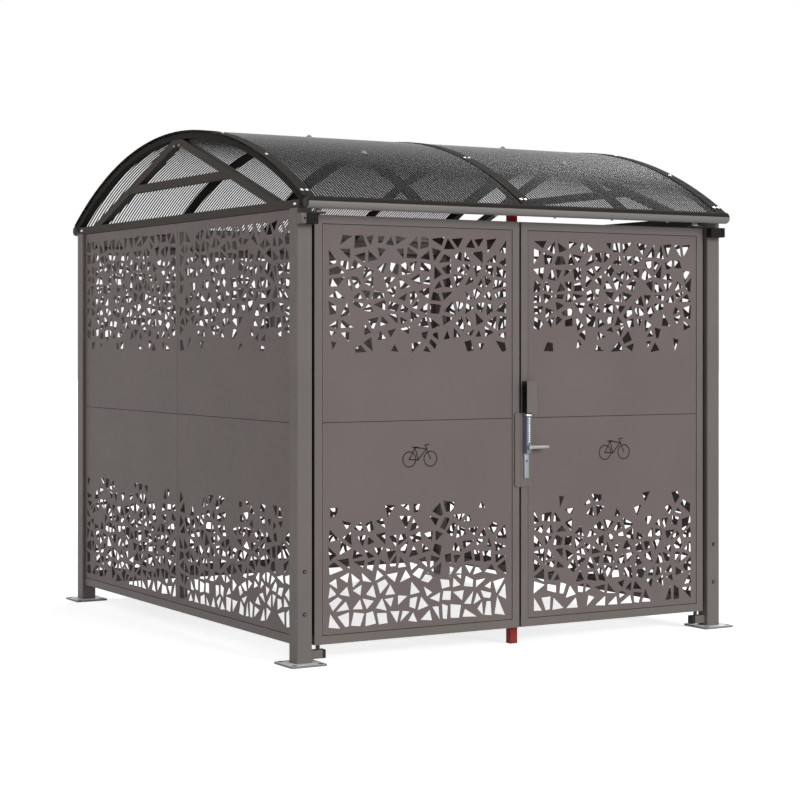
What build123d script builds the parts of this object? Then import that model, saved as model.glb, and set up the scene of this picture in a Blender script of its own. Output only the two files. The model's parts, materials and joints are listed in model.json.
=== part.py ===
from build123d import *
import math
import os
import random

# Bicycle shelter: four posts on foot plates, walls and two swing doors of perforated
# sheet steel, and an arched roof of clear sheet on five hoops.
# Millimetres. X runs along the doors, Y to the back and Z up. The origin is on the
# ground, midway between the four posts.

# Overall
shelter_width = 2500
shelter_depth = 2742
post_height = 2115
seat_gap = 0.3
cut_overrun = 5

# Posts and their foot plates
post_side = 80
post_wall = 3
post_corner_chamfer = 4
post_cap_thickness = 4
foot_side = 185
foot_thickness = 10
foot_chamfer = 6
slot_spacing = 138
slot_width = 14
slot_length = 30

# Frames of the walls and doors, and the sheets that lie in them
frame_setback = 15
frame_depth = 50
frame_face = 40
rail_bottom = 92
joint_height = 1120
sheet_thickness = 2
sheet_recess = 2
sheet_gap = 3
lip_width = 20
lip_thickness = 3

# Shards cut in the sheets, in a band at the top and a band at the bottom, each in place of a
# group of finer ones
upper_band_margin = 48
lower_band_margin = 30
upper_band_share = 0.65
lower_band_share = 0.6
wall_shard_margin = 25
door_shard_margin = 35
shard_pitch = 200
shard_web = 36
shard_scatter_share = 0.34
shard_corner_counts = (3, 3, 4)
solid_rows_share = 0.65
first_blank_share = 0.08
last_blank_share = 0.6
smallest_shard_share = 0.55
neighbour_reach = 2
left_wall_seed = 11
right_wall_seed = 21
rear_wall_seed = 31
left_door_seed = 41
right_door_seed = 51

# Doors and their hinges
door_bottom = 88
door_top_gap = 27
door_side_gap = 20
leaf_gap = 11
pivot_inset = 30
pin_radius = 8
pin_depth = 25
bracket_side = 40
bracket_gap = 24
bracket_reach = 65
bracket_cap_length = 17
hanger_reach = 82
hanger_width = 50
hanger_thickness = 8
hanger_clearance = 6
buffer_width = 90
buffer_reach = 45
buffer_rise = 2
buffer_height = 49
buffer_chamfer = 4
stop_post_side = 40
stop_post_clearance = 6

# Lock cover, keypad lock, lever, keyhole plate and pull grip
cover_width = 101
cover_overlap = 41
cover_foot_margin = 42
cover_head_margin = 5
cover_thickness = 8
cover_corner_radius = 14
lock_inset = 8
lock_width = 30
lock_depth = 30
lock_bottom = 948
lock_height = 192
lock_chamfer = 3
keyhole_plate_width = 28
keyhole_plate_bottom = 822
keyhole_plate_thickness = 8
keyhole_plate_radius = 6
lever_rise = 29
lever_hub_radius = 11
lever_hub_length = 14
lever_length = 114
lever_thickness = 20
lever_depth = 11
lever_chamfer = 3
spindle_radius = 5
spindle_length = 14
grip_inset = 4
grip_width = 62
grip_depth = 47
grip_height = 158
grip_sheet = 3
grip_fold_radius = 5

# Roof
roof_radius = 2634
roof_sheet_thickness = 10
roof_sheet_seam = 6
arch_setback = 12
hoop_width = 40
hoop_depth = 28
hoop_count = 5
cap_width = 60
cap_thickness = 3
eave_tube_radius = 28
eave_tube_reach = 68
eave_tube_drop = 16
eave_tube_chamfer = 3
truss_side = 40
rafter_foot_inset = 271
collar_rise = 170

# Derived places
half_width = shelter_width / 2
half_depth = shelter_depth / 2
sheet_front = frame_setback + sheet_recess
lip_front = sheet_front + sheet_thickness + seat_gap
lip_back = lip_front + lip_thickness
frame_back = frame_setback + frame_depth
rail_top = rail_bottom + frame_face
door_top = post_height - door_top_gap
upper_band_bottom = door_top - frame_face - upper_band_share * (door_top - frame_face - joint_height)
lower_band_top = rail_top + lower_band_share * (joint_height - rail_top)
leaf_outer_edge = half_width - post_side - door_side_gap
leaf_inner_edge = leaf_gap / 2
leaf_front = -half_depth + frame_setback
leaf_back = leaf_front + frame_depth
leaf_middle = (leaf_front + leaf_back) / 2
pivot_x = leaf_outer_edge - pivot_inset
post_inner_face = half_width - post_side
sheet_inner_radius = roof_radius - roof_sheet_thickness
hoop_outer_radius = sheet_inner_radius - seat_gap
hoop_inner_radius = hoop_outer_radius - hoop_depth
chord_top = post_height + truss_side
arch_axis_height = chord_top - math.sqrt(hoop_inner_radius**2 - half_depth**2)
roof_top = arch_axis_height + roof_radius
eave_tube_y = half_depth + eave_tube_reach
eave_tube_distance = roof_radius - eave_tube_drop
eave_tube_angle = math.degrees(math.asin(eave_tube_y / eave_tube_distance))
eave_tube_height = arch_axis_height + eave_tube_distance * math.cos(math.radians(eave_tube_angle))
eave_meeting = math.degrees((eave_tube_radius + seat_gap) / eave_tube_distance)
arch_half_angle = eave_tube_angle - eave_meeting
hoop_span = shelter_width - 2 * arch_setback - hoop_width
hoop_places = [hoop_span * (step / (hoop_count - 1) - 1 / 2) for step in range(hoop_count)]

nodes = {}


def block(x_range, y_range, z_range):
    """A box between two limits on each axis."""
    limits = (x_range, y_range, z_range)
    sizes = [high - low for low, high in limits]
    middles = [(low + high) / 2 for low, high in limits]
    return Pos(*middles) * Box(*sizes)


def around(middle, size):
    """The two limits of a size that is centred on a place."""
    return middle - size / 2, middle + size / 2


def upright_cylinder(x, y, z_range, radius):
    """A round bar that stands between two heights."""
    low, high = z_range
    return Pos(x, y, (low + high) / 2) * Cylinder(radius, high - low)


def level_cylinder(x, z, y_range, radius):
    """A round bar that lies along Y."""
    low, high = y_range
    return Pos(x, (low + high) / 2, z) * Rot(90, 0, 0) * Cylinder(radius, high - low)


def rounded_plate(x_range, y_range, z_range, radius):
    """A plate facing the front, with rounded corners."""
    width = x_range[1] - x_range[0]
    height = z_range[1] - z_range[0]
    outline = Plane.XZ * RectangleRounded(width, height, radius)
    plate = extrude(outline, y_range[1] - y_range[0])
    return Pos(sum(x_range) / 2, y_range[1], sum(z_range) / 2) * plate


def arch_profile(inner_radius, outer_radius):
    """The section of a strip bent round the roof's axis, from eave to eave."""
    start = 90 - arch_half_angle
    turn = 2 * arch_half_angle
    outer = CenterArc((0, 0), outer_radius, start, turn)
    inner = CenterArc((0, 0), inner_radius, start, turn)
    sides = Line(outer @ 0, inner @ 0) + Line(outer @ 1, inner @ 1)
    return make_face(outer + inner + sides)


def arch_strip(inner_radius, outer_radius, x_range):
    """A strip bent round the roof's axis, between two places along X."""
    strip = extrude(Plane.YZ * arch_profile(inner_radius, outer_radius), x_range[1] - x_range[0])
    return Pos(x_range[0], 0, arch_axis_height) * strip


def under_hoops(shape):
    """What of a shape lies under the inner face of the hoops."""
    radius = hoop_inner_radius - seat_gap
    inside = Pos(0, 0, arch_axis_height) * Rot(0, 90, 0) * Cylinder(radius, 2 * shelter_width)
    return shape & inside


def clipped(outline, point, normal):
    """The part of a convex outline behind a line, with points of a sheet as complex numbers."""
    sides = [((corner - point) * normal.conjugate()).real for corner in outline]
    kept = []
    for index, corner in enumerate(outline):
        following = (index + 1) % len(outline)
        if sides[index] <= 0:
            kept.append(corner)
        if sides[index] * sides[following] < 0:
            crossing_share = sides[index] / (sides[index] - sides[following])
            kept.append(corner + (outline[following] - corner) * crossing_share)
    return kept


def seed_points(dice, low, cell, columns, rows):
    """A loose grid of points, from a band's outer edge inwards."""
    seeds = {}
    for row in range(rows):
        for column in range(columns):
            across_share = column + 1 / 2 + dice.uniform(-shard_scatter_share, shard_scatter_share)
            inward_share = row + 1 / 2 + dice.uniform(-shard_scatter_share, shard_scatter_share)
            seeds[column, row] = low + complex(across_share * cell.real, inward_share * cell.imag)
    return seeds


def seed_cell(seeds, place, corners):
    """What lies nearer to one seed than to its neighbours, with half a web taken off all round."""
    column, row = place
    seed = seeds[place]
    outline = corners
    reach = range(-neighbour_reach, neighbour_reach + 1)
    for column_step in reach:
        for row_step in reach:
            other = seeds.get((column + column_step, row + row_step), seed)
            if other == seed:
                continue
            normal = (other - seed) / abs(other - seed)
            outline = clipped(outline, (seed + other) / 2 - normal * shard_web / 2, normal)
    return outline


def shard_band(dice, x_range, outer_z, inner_z):
    """The shards of a band. Each is the cell of a point in a loose grid, cut down to three or four
    corners, and they thin out towards the plain middle of the sheet."""
    size = complex(x_range[1] - x_range[0], inner_z - outer_z)
    columns = max(1, round(size.real / shard_pitch))
    rows = max(1, round(abs(size.imag) / shard_pitch))
    low = complex(x_range[0], outer_z)
    corners = [low, low + size.real, low + size, low + 1j * size.imag]
    seeds = seed_points(dice, low, complex(size.real / columns, size.imag / rows), columns, rows)
    shards = []
    for place in seeds:
        row = place[1]
        fade_share = max(0, ((row + 1 / 2) / rows - solid_rows_share) / (1 - solid_rows_share))
        outline = plainer(seed_cell(seeds, place, corners), dice.choice(shard_corner_counts))
        size_share = 1 - fade_share * dice.uniform(0, 1 - smallest_shard_share)
        blank_share = first_blank_share + fade_share * (last_blank_share - first_blank_share)
        if dice.random() > blank_share:
            middle = sum(outline) / len(outline)
            shards.append([middle + (corner - middle) * size_share for corner in outline])
    return shards


def outline_area(outline):
    """The area inside a convex outline."""
    pairs = zip(outline, outline[1:] + outline[:1])
    return abs(sum((first.conjugate() * second).imag for first, second in pairs)) / 2


def plainer(outline, corner_count):
    """A convex outline that has lost the corners it can best spare."""
    while len(outline) > corner_count:
        remainders = [outline[:index] + outline[index + 1:] for index in range(len(outline))]
        outline = max(remainders, key=outline_area)
    return outline


def perforated_sheet(seed, x_range, z_range, y, margin, upper):
    """One flat sheet with a band of shards near its top or its bottom."""
    dice = random.Random(seed)
    left, right = x_range
    low, high = z_range
    outline = Wire.make_polygon([(left, y, low), (right, y, low), (right, y, high), (left, y, high)])
    if upper:
        outer_z, inner_z = high - upper_band_margin, upper_band_bottom
    else:
        outer_z, inner_z = low + lower_band_margin, lower_band_top
    shards = shard_band(dice, (left + margin, right - margin), outer_z, inner_z)
    wires = [Wire.make_polygon([(corner.real, y, corner.imag) for corner in shard]) for shard in shards]
    return extrude(Face(outline, wires), sheet_thickness, dir=(0, 1, 0))


def sheet_rows(bottom, top):
    """The heights of the lower and the upper sheet of a bay."""
    half_seam = sheet_gap / 2
    return (bottom + sheet_gap, joint_height - half_seam), (joint_height + half_seam, top - sheet_gap)


def seat_plate(window_columns, x_range, z_range, y_range):
    """The lips that sheets lie on, as one thin plate with a window behind each sheet."""
    plate = block(x_range, y_range, z_range)
    joint_low, joint_high = around(joint_height, 2 * lip_width)
    window_rows = (z_range[0] + lip_width, joint_low), (joint_high, z_range[1] - lip_width)
    through = (y_range[0] - cut_overrun, y_range[1] + cut_overrun)
    for columns in window_columns:
        for rows in window_rows:
            plate -= block(columns, through, rows)
    return plate


def wall_frame(half_clear, top, has_top_rail):
    """A wall's frame as seen from outside: bottom rail, lips, middle post and any top rail."""
    half_post = frame_face / 2
    window = half_post, half_clear - lip_width
    windows = (-window[1], -window[0]), window
    frame = block((-half_clear, half_clear), (frame_setback, frame_back), (rail_bottom, rail_top))
    frame += seat_plate(windows, (-half_clear, half_clear), (rail_top, top), (lip_front, lip_back))
    frame += block((-half_post, half_post), (lip_back, frame_back), (rail_top, top))
    if has_top_rail:
        top_rail = (top, top + frame_face)
        frame += block((-half_clear, half_clear), (frame_setback, frame_back), top_rail)
    return frame


def wall_sheets(first_seed, half_clear, top):
    """The four sheets of a wall as seen from outside."""
    half_seam = sheet_gap / 2
    bays = (-half_clear + sheet_gap, -half_seam), (half_seam, half_clear - sheet_gap)
    sheets = []
    for bay, columns in enumerate(bays):
        for upper, rows in enumerate(sheet_rows(rail_top, top)):
            seed = first_seed + 2 * bay + upper
            sheets.append(perforated_sheet(seed, columns, rows, sheet_front, wall_shard_margin, upper))
    return Compound(sheets)


def make_posts_and_feet():
    """Square tubes with closed tops, each on a slotted foot plate."""
    inner_side = post_side - 2 * post_wall
    tube_length = post_height - foot_thickness
    tube = extrude(Rectangle(post_side, post_side), tube_length)
    tube = chamfer(tube.edges().filter_by(Axis.Z), post_corner_chamfer)
    tube -= extrude(Rectangle(inner_side, inner_side), tube_length - post_cap_thickness)
    foot = extrude(Rectangle(foot_side, foot_side), foot_thickness)
    foot = chamfer(foot.edges().filter_by(Axis.Z), foot_chamfer)
    slot = extrude(SlotOverall(slot_length, slot_width), foot_thickness)
    foot -= [place * slot for place in GridLocations(slot_spacing, slot_spacing, 2, 2)]
    feet = []
    for front_name, front in (("front", -1), ("rear", 1)):
        for side_name, side in (("left", -1), ("right", 1)):
            place = Pos(side * (half_width - post_side / 2), front * (half_depth - post_side / 2), 0)
            feet.append(place * foot)
            nodes[f"{front_name}_{side_name}_post"] = place * Pos(0, 0, foot_thickness) * tube
    nodes["foot_plates"] = Compound(feet)


def make_walls():
    """Left, right and rear walls, each made facing the front and turned to its place."""
    side_clear = half_depth - post_side
    rear_clear = half_width - post_side
    rear_top = door_top - frame_face
    walls = (
        ("left", Pos(-half_width, 0, 0) * Rot(0, 0, -90), side_clear, post_height, False, left_wall_seed),
        ("right", Pos(half_width, 0, 0) * Rot(0, 0, 90), side_clear, post_height, False, right_wall_seed),
        ("rear", Pos(0, half_depth, 0) * Rot(0, 0, 180), rear_clear, rear_top, True, rear_wall_seed),
    )
    for name, place, half_clear, top, has_top_rail, first_seed in walls:
        nodes[f"{name}_wall_frame"] = place * wall_frame(half_clear, top, has_top_rail)
        nodes[f"{name}_wall_sheets"] = place * wall_sheets(first_seed, half_clear, top)


def leaf_frame(x_range, hinge_x):
    """A door leaf's frame with its lips and the two sockets for its hinge pins."""
    left, right = x_range
    inner_x = (left + frame_face, right - frame_face)
    inner_z = (door_bottom + frame_face, door_top - frame_face)
    frame = block(x_range, (leaf_front, leaf_back), (door_bottom, door_top))
    frame -= block(inner_x, (leaf_front - cut_overrun, leaf_back + cut_overrun), inner_z)
    window = inner_x[0] + lip_width, inner_x[1] - lip_width
    lips = -half_depth + lip_front, -half_depth + lip_back
    frame += seat_plate((window,), inner_x, inner_z, lips)
    socket_radius = pin_radius + seat_gap
    socket_depth = pin_depth + hanger_clearance
    bottom_socket = (door_bottom - cut_overrun, door_bottom + socket_depth)
    top_socket = (door_top - socket_depth, door_top + cut_overrun)
    frame -= upright_cylinder(hinge_x, leaf_middle, bottom_socket, socket_radius)
    frame -= upright_cylinder(hinge_x, leaf_middle, top_socket, socket_radius)
    return frame


def leaf_sheets(first_seed, x_range):
    """The two perforated sheets of a door leaf."""
    columns = x_range[0] + frame_face + sheet_gap, x_range[1] - frame_face - sheet_gap
    rows = sheet_rows(door_bottom + frame_face, door_top - frame_face)
    y = -half_depth + sheet_front
    sheets = []
    for upper, heights in enumerate(rows):
        sheets.append(perforated_sheet(first_seed + upper, columns, heights, y, door_shard_margin, upper))
    return Compound(sheets)


def make_doors():
    """Two leaves that meet in the middle."""
    left_leaf = (-leaf_outer_edge, -leaf_inner_edge)
    right_leaf = (leaf_inner_edge, leaf_outer_edge)
    nodes["left_door_frame"] = leaf_frame(left_leaf, -pivot_x)
    nodes["right_door_frame"] = leaf_frame(right_leaf, pivot_x)
    nodes["left_door_sheets"] = leaf_sheets(left_door_seed, left_leaf)
    nodes["right_door_sheets"] = leaf_sheets(right_door_seed, right_leaf)


def make_hinges():
    """Bottom brackets with standing pins, top hangers with hanging pins, and the door buffers."""
    bracket_top = door_bottom - bracket_gap
    bracket_end = post_inner_face - bracket_reach
    cap_end = bracket_end - bracket_cap_length
    hanger_bottom = door_top + hanger_clearance
    buffer_top = door_top + buffer_rise
    bracket_y = around(leaf_middle, bracket_side)
    bracket_z = (bracket_top - bracket_side, bracket_top)
    pin_z = (bracket_top, door_bottom + pin_depth)
    bracket = block((bracket_end, post_inner_face), bracket_y, bracket_z)
    bracket += upright_cylinder(pivot_x, leaf_middle, pin_z, pin_radius)
    bracket_cap = block((cap_end, bracket_end), bracket_y, bracket_z)
    hanger = block((post_inner_face - hanger_reach, post_inner_face), around(leaf_middle, hanger_width),
                   (hanger_bottom, hanger_bottom + hanger_thickness))
    hanger += upright_cylinder(pivot_x, leaf_middle, (door_top - pin_depth, hanger_bottom), pin_radius)
    buffer = block((half_width - buffer_width, half_width), (-half_depth - buffer_reach, -half_depth),
                   (buffer_top - buffer_height, buffer_top))
    buffer = chamfer(buffer.edges().group_by(Axis.Y)[0], buffer_chamfer)
    pieces = (
        ("hinge_brackets", bracket),
        ("bracket_caps", bracket_cap),
        ("hinge_hangers", hanger),
        ("door_buffers", buffer),
    )
    for name, shape in pieces:
        nodes[name] = Compound([mirror(shape, Plane.YZ), shape])


def make_stop_post():
    """The middle post that both leaves close against, from the ground to the middle hoop."""
    front = leaf_back + stop_post_clearance
    post = block(around(0, stop_post_side), (front, front + stop_post_side), (0, roof_top))
    nodes["centre_stop_post"] = under_hoops(post)


def make_lock():
    """Cover plates on both leaves, and the lock, lever, keyhole plate and grip on the right one."""
    cover_left = leaf_inner_edge - cover_overlap
    lock_top = lock_bottom + lock_height
    cover_top = lock_top + cover_head_margin
    cover_z = (keyhole_plate_bottom - cover_foot_margin, cover_top)
    cover_front = leaf_front - cover_thickness
    cover = rounded_plate((cover_left, cover_left + cover_width), (cover_front, leaf_front), cover_z,
                          cover_corner_radius)
    left_side = block((-half_width, -leaf_inner_edge), (cover_front, leaf_front), cover_z)
    right_side = block((leaf_inner_edge, half_width), (cover_front, leaf_front), cover_z)
    nodes["keeper_plate"] = cover & left_side
    nodes["lock_plate"] = cover & right_side

    lock_left = leaf_inner_edge + lock_inset
    lock_middle = lock_left + lock_width / 2
    lock_front = cover_front - lock_depth
    lever_height = lock_bottom + lever_rise
    lock = block((lock_left, lock_left + lock_width), (lock_front, cover_front), (lock_bottom, lock_top))
    lock = chamfer(lock.edges().group_by(Axis.Y)[0], lock_chamfer)
    bore = (lock_front - cut_overrun, lock_front + spindle_length + seat_gap)
    lock -= level_cylinder(lock_middle, lever_height, bore, spindle_radius + seat_gap)
    nodes["keypad_lock"] = lock

    nodes["keyhole_plate"] = rounded_plate(
        around(lock_middle, keyhole_plate_width), (cover_front - keyhole_plate_thickness, cover_front),
        (keyhole_plate_bottom, lock_bottom), keyhole_plate_radius)

    hub_back = lock_front - seat_gap
    hub_front = hub_back - lever_hub_length
    arm = block((lock_middle, lock_middle + lever_length), (hub_front, hub_front + lever_depth),
                around(lever_height, lever_thickness))
    arm = chamfer(arm.edges().filter_by(Axis.X), lever_chamfer)
    lever = arm + level_cylinder(lock_middle, lever_height, (hub_front, hub_back), lever_hub_radius)
    lever += level_cylinder(lock_middle, lever_height, (hub_back, lock_front + spindle_length), spindle_radius)
    nodes["lever"] = lever

    grip_left = leaf_inner_edge + grip_inset
    grip_right = grip_left + grip_width
    grip_z = (cover_top, cover_top + grip_height)
    pocket_z = (grip_z[0] - cut_overrun, grip_z[1] + cut_overrun)
    grip = block((grip_left, grip_right), (leaf_front - grip_depth, leaf_front), grip_z)
    grip = fillet(grip.edges().filter_by(Axis.Z).group_by(Axis.X)[-1], grip_fold_radius)
    pocket_x = (grip_left - cut_overrun, grip_right - grip_sheet)
    pocket_y = (leaf_front - grip_depth + grip_sheet, leaf_front - grip_sheet)
    pocket = block(pocket_x, pocket_y, pocket_z)
    pocket = fillet(pocket.edges().filter_by(Axis.Z).group_by(Axis.X)[-1], grip_fold_radius - grip_sheet)
    nodes["pull_grip"] = grip - pocket


def make_roof():
    """Hoops, clear sheets, cap strips and the round tubes along both eaves."""
    hoop_names = ("left_end", "left_quarter", "centre", "right_quarter", "right_end")
    for name, x in zip(hoop_names, hoop_places):
        nodes[f"{name}_hoop"] = arch_strip(hoop_inner_radius, hoop_outer_radius, around(x, hoop_width))
    sheet_edge = half_width - arch_setback
    half_seam = roof_sheet_seam / 2
    for name, x_range in (("left", (-sheet_edge, -half_seam)), ("right", (half_seam, sheet_edge))):
        nodes[f"{name}_roof_sheet"] = arch_strip(sheet_inner_radius, roof_radius, x_range)
    cap_inner = roof_radius + seat_gap
    for name, x in zip(hoop_names[::2], hoop_places[::2]):
        nodes[f"{name}_cap_strip"] = arch_strip(cap_inner, cap_inner + cap_thickness, around(x, cap_width))
    tube = Rot(0, 90, 0) * Cylinder(eave_tube_radius, 2 * sheet_edge)
    tube = chamfer(tube.edges().filter_by(GeomType.CIRCLE), eave_tube_chamfer)
    nodes["front_eave_tube"] = Pos(0, -eave_tube_y, eave_tube_height) * tube
    nodes["rear_eave_tube"] = Pos(0, eave_tube_y, eave_tube_height) * tube


def truss_bar(corners, x):
    """A bar of the truss under an end hoop, from the corners of its outline given by Y and Z."""
    outline = Plane.YZ * make_face(Polyline(*corners, close=True))
    return under_hoops(Pos(x - hoop_width / 2, 0, 0) * extrude(outline, hoop_width))


def make_gables():
    """A truss over each side wall, under the end hoop: chord, two rafters and a collar between them."""
    rafter_foot = half_depth - rafter_foot_inset
    apex = arch_axis_height + hoop_inner_radius
    slope = (apex - chord_top) / rafter_foot
    half_rafter = truss_side / 2 * math.hypot(1, slope)
    rafter_outer = rafter_foot + half_rafter / slope
    rafter_inner = rafter_foot - half_rafter / slope
    rafter_corners = [
        (seat_gap / 2, apex + half_rafter),
        (seat_gap / 2, apex - half_rafter),
        (rafter_inner, chord_top),
        (rafter_outer, chord_top),
    ]
    chord_corners = [
        (-half_depth, post_height),
        (half_depth, post_height),
        (half_depth, chord_top),
        (-half_depth, chord_top),
    ]
    collar_low, collar_high = around(chord_top + collar_rise, truss_side)
    low_end, high_end = [rafter_inner - (z - chord_top) / slope - seat_gap for z in (collar_low, collar_high)]
    collar_corners = [
        (-low_end, collar_low),
        (low_end, collar_low),
        (high_end, collar_high),
        (-high_end, collar_high),
    ]
    for name, x in (("left", hoop_places[0]), ("right", hoop_places[-1])):
        rafter = truss_bar(rafter_corners, x)
        nodes[f"{name}_gable_chord"] = truss_bar(chord_corners, x)
        nodes[f"{name}_gable_rafters"] = Compound([rafter, mirror(rafter, Plane.XZ)])
        nodes[f"{name}_gable_collar"] = truss_bar(collar_corners, x)


make_posts_and_feet()
make_walls()
make_doors()
make_hinges()
make_stop_post()
make_lock()
make_roof()
make_gables()

os.makedirs("parts", exist_ok=True)
for node_name, node_shape in nodes.items():
    export_step(node_shape, f"parts/{node_name}.step")
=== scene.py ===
import cmath
import json
import math
import random

import bmesh
import bpy
from mathutils import Matrix, Vector


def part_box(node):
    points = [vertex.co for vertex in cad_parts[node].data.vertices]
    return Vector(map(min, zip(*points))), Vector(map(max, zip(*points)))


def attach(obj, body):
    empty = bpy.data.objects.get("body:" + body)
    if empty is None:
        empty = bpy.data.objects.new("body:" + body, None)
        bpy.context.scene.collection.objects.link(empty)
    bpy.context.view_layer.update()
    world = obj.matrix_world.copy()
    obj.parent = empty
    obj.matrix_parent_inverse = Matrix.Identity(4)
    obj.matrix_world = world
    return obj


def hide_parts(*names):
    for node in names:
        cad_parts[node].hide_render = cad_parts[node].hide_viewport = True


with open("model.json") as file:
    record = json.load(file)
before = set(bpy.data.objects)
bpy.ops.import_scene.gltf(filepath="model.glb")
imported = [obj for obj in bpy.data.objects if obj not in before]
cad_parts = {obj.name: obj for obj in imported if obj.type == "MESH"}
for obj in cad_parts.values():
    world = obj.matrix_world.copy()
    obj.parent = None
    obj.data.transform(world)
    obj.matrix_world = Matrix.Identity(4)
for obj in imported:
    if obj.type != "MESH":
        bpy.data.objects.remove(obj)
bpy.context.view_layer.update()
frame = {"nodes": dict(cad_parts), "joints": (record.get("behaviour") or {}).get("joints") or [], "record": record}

# Bicycle shelter, in metres. X runs along the doors, Y to the back and Z up, from a point on the
# ground midway between the posts.

# Camera
camera_place = (-5.478, -9.453, 1.510)
camera_turn = -30.6
camera_lens = 88.97
camera_sensor = 36
camera_shift = -0.0763
camera_reach = 200
quarter_turn = 90

# Light and floor, with each sun's energy, width, tilt and turn
sky_level = 0.35
suns = {
    "front_sun": (1.8, 25, 70, 15),
    "left_fill": (0.75, 80, 80, -75),
    "rear_rim": (1.0, 30, 57, 122),
}
floor_half_side = 60
floor_pale = 0.8
floor_glow = 0.7
floor_roughness = 0.9
seen_kinds = ("Is Camera Ray", "Is Transmission Ray", "Is Glossy Ray")

# Rounded edges of small blocks
edge_segments = 3

# Sheets of the walls and doors, and the black strips round them that paint shade into their gaps
joint_height = 1.12
sheet_gap = 0.003
gap_shade_recess = 0.0011
gap_shade_step = 0.0001
wall_seeds = {"left": 11, "right": 21, "rear": 31}
wall_turns = {"left": -90, "right": 90, "rear": 180}
door_seeds = {"left": 41, "right": 51}

# Shards cut in the sheets
upper_band_margin = 0.048
lower_band_margin = 0.03
upper_band_bottom = 1.4448
lower_band_top = 0.7248
wall_shard_margin = 0.025
door_shard_margin = 0.035
shard_pitch = 0.063
shard_web = 0.017
shard_scatter_share = 0.38
shard_corner_counts = (3, 3, 4)
shard_turn = 11
solid_rows_share = 0.72
first_blank_share = 0.05
last_blank_share = 0.65
smallest_shard_share = 0.55
neighbour_reach = 2

# Bicycle sign on each leaf, measured by X and Z from a point midway between its hubs
sign_height = 0.935
sign_wheel_radius = 0.036
sign_line = 0.0055
sign_proud = 0.0004
sign_steps = 40
sign_rear_hub = (-0.059, 0)
sign_front_hub = (0.059, 0)
sign_crank = (-0.010, -0.004)
sign_saddle = (-0.027, 0.057)
sign_saddle_half = 0.015
sign_head = (0.036, 0.047)
sign_stem = (0.030, 0.066)
sign_grip = (0.050, 0.070)

# Roof sheet with ribs inside
roof_radius = 2.634
roof_sheet_thickness = 0.01
rib_width = 0.005
rib_height = 0.005
rib_pitch = 0.0162
rib_inset = 0.0002
roof_steps = 48

# Sleeves over the eave tubes and plugs in their ends
sleeve_angles = (12, 118)
sleeve_gap = 0.0004
sleeve_thickness = 0.0016
sleeve_steps = 18
plug_segments = 36
plug_inset = 0.0015
plug_height = 0.005
tube_screw_start = -0.9
tube_screw_spacing = 0.35
tube_screw_count = 6

# Screws, washers and bolts
hexagon_sides = 6
screw_segments = (14, 10)
washer_segments = 18
bolt_segments = 12
bolt_washer_segments = 16
pin_washer_segments = 24
screw_radius = 0.0085
screw_height = 0.006
screw_foot_share = 0.3
screw_head_share = 0.7
screw_top_share = 0.4
screw_pair_spread = 0.013
washer_radius = 0.017
washer_height = 0.008
washer_top_share = 0.6
bolt_radius = 0.009
bolt_height = 0.006
bolt_top_share = 0.7
post_bolt_heights = (0.237, 0.435)
apex_bolt_drop = 0.03
apex_bolt_spread = 0.03
end_cap_screw_angles = (0, 11.2, 22.2, 31.6)
centre_cap_screw_angles = (6.2, 19.2, 31.6)
hoop_washer_angles = (6.2, 19.2)

# Hinge bushes and pin heads
bush_radius = 0.0115
bush_waist_share = 0.72
bush_rings = 4
bush_segments = 20
bush_gap = 0.0005
pin_head_radius = 0.016
pin_head_height = 0.02
pin_top_share = 0.85
pin_washer_radius = 0.02
pin_washer_height = 0.004

# Rubber seals on the leaves' edges, the lap of the lock plate, and black inside the grip's channel as painted
# shade
seal_thickness = 0.003
seal_edge = 0.001
seal_inset = 0.003
seal_end_margin = 0.05
lap_gap = 0.001
lap_thickness = 0.003
grip_sheet = 0.003
grip_shade_thickness = 0.001

# Strip over the rear wall
rear_strip_rise = 0.04
rear_strip_thickness = 0.003
rear_strip_fold = 0.014
rear_strip_inset = 0.004
rear_strip_edge = 0.0006

# Door buffers
buffer_width = 0.09
buffer_edge = 0.004
holder_width = 0.028
holder_fold = 0.012
holder_recess = 0.003
holder_edge = 0.0008

# Lock
lock_edge = 0.003
lock_chamfer = 0.0095
lock_chamfer_segments = 2
# Height of the keypad's head, in bright steel as a painted highlight along its top
highlight_head_height = 0.011
lock_seam = 0.0006
panel_top_margin = 0.017
panel_bottom_margin = 0.05
button_half_width = 0.0042
button_half_height = 0.0029
button_proud = 0.0016
button_edge = 0.0008
button_rows = 12
keyhole_edge = 0.0035
keyhole_rise_share = 0.68
keyhole_radius = 0.0075
keyhole_segments = 20
keyhole_top_share = 0.9
keyhole_height = 0.002
keyhole_slot = (0.0022, 0.0005, 0.009)
lever_segments = 20
lever_hub_segments = 24
lever_hub_radius = 0.011
lever_hub_top_share = 0.95
lever_hub_height = 0.0135
lever_half_depth = 0.0055
lever_half_height = 0.0098
lever_shares = ((0.12, 0.95), (0.5, 0.88), (0.88, 0.9), (0.97, 0.75), (1, 0.42))

# Finishes, with the noise of each grain as its scale and detail
sharp_angle = 32
noise_limits = (0.3, 0.7)
fine_depth = 0.0005
cloud_grain = (2.5, 4)
cloud_shares = (0.94, 1.05)
patch_grain = (30, 3)
patch_spread = 0.05
peel_grain = (650, 2)
peel_strength = 0.12
dust_grain = (14, 5)
dust_heights = (0.02, 0.45)
dust_most_share = 0.3
dust_colour = (0.21, 0.19, 0.175)
drawn_roughness = 0.35
drawn_grain = (90, 2)
drawn_stretch = (1, 0.01, 0.01)
drawn_shares = (0.92, 1.08)
skin_alphas = (0.04, 0.7)
skin_slants = (0.71, 0.97)
zinc_roughnesses = (0.36, 0.58)
zinc_gloss = 0.3
crystal_scale = 160
crystal_limits = (0.1, 0.9)
zinc_cloud_grain = (40, 4)
zinc_grain = (220, 3)
zinc_strength = 0.15
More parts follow.
